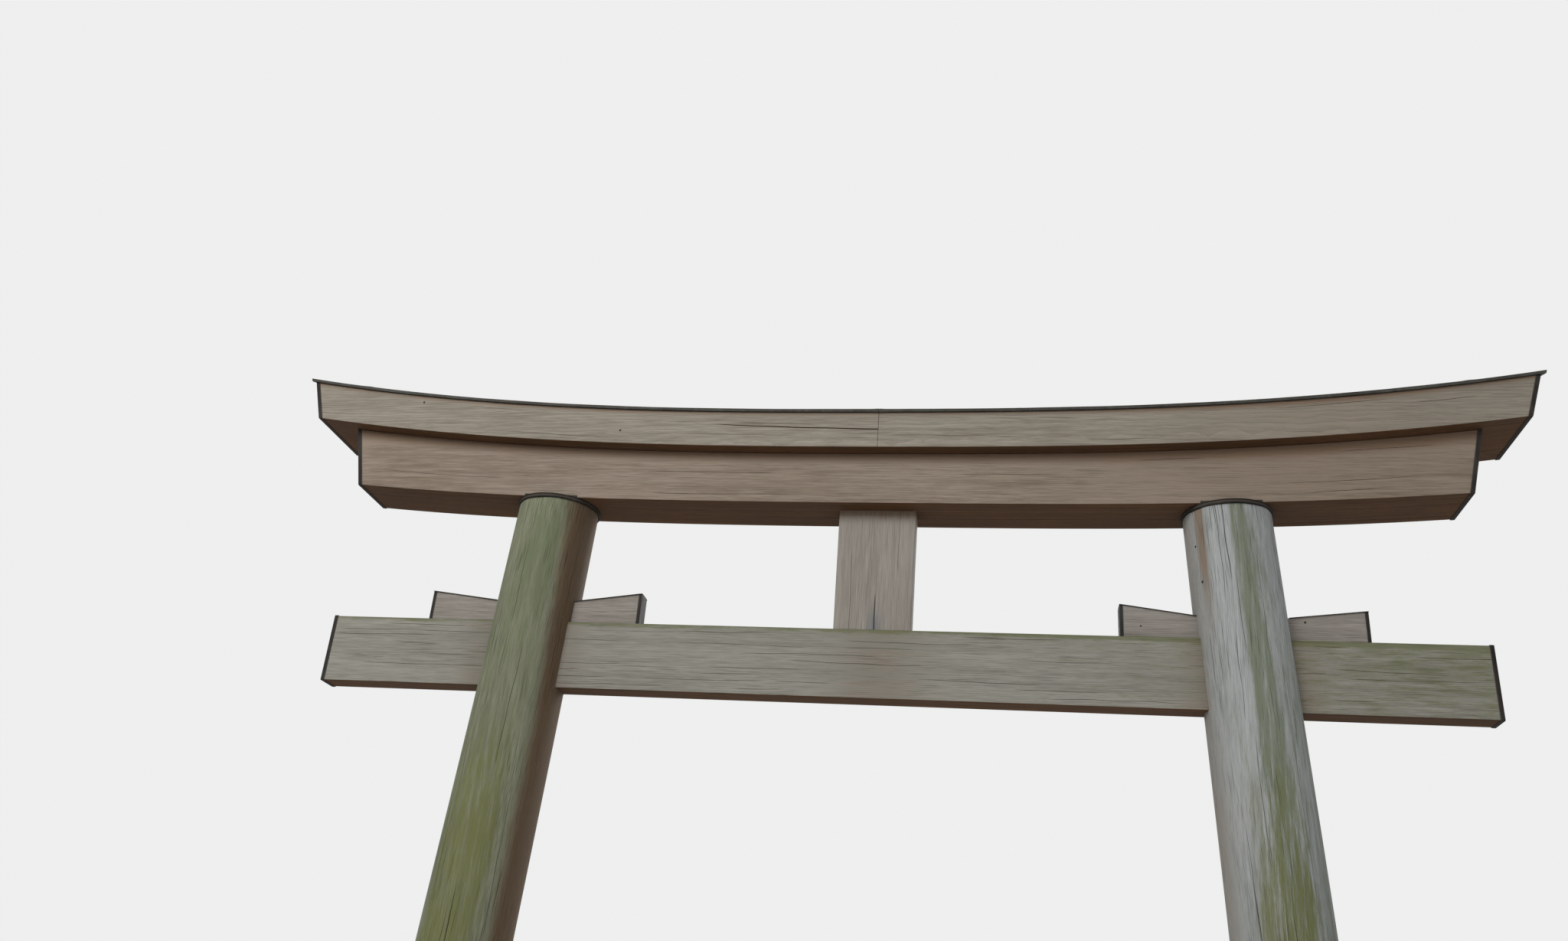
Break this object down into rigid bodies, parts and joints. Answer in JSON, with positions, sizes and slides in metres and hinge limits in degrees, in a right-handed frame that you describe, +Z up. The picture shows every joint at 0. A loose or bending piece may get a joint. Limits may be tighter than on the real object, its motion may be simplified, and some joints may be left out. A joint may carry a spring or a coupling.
{
  "type": "torii gate",
  "caption": "Weathered cypress torii gate: two leaning pillars, a wedged tie beam and two upswept lintels, with dark copper caps and roof boards.",
  "frame": {"origin": "on the ground, midway between the two pillars", "axes": "+X along the lintels to the right as seen from the front, +Y through the gate to the back, +Z up"},
  "size_m": [8.2538, 0.86, 5.9675],
  "materials": {
    "beam_wood": "planed cypress, weathered grey-brown, unpainted",
    "pillar_wood": "round turned log, weathered pale grey with green algae and drying checks",
    "copper": "sheet copper with a dark brown to blue-grey patina, satin",
    "roof_copper": "sheet copper with a dark patina, wrapped over boards, satin",
    "base_stone": "granite, bush-hammered, matt"
  },
  "bodies": {
    "root": {"left_base_stone": "base_stone", "left_disc": "copper", "left_foot_band": "copper", "left_inner_wedge": "beam_wood", "left_inner_wedge_cap": "copper", "left_outer_wedge": "beam_wood", "left_outer_wedge_cap": "copper", "left_pillar": "pillar_wood", "left_tie_beam_cap": "copper", "lower_cap_left": "copper", "lower_cap_right": "copper", "lower_lintel_back": "beam_wood", "lower_lintel_front": "beam_wood", "ridge_cover_left": "roof_copper", "ridge_cover_right": "roof_copper", "right_base_stone": "base_stone", "right_disc": "copper", "right_foot_band": "copper", "right_inner_wedge": "beam_wood", "right_inner_wedge_cap": "copper", "right_outer_wedge": "beam_wood", "right_outer_wedge_cap": "copper", "right_pillar": "pillar_wood", "right_tie_beam_cap": "copper", "roof_back_left": "roof_copper", "roof_back_right": "roof_copper", "roof_front_left": "roof_copper", "roof_front_right": "roof_copper", "strut": "beam_wood", "tie_beam": "beam_wood", "upper_cap_left": "copper", "upper_cap_right": "copper", "upper_lintel_left": "beam_wood", "upper_lintel_right": "beam_wood"}
  },
  "joints": []
}
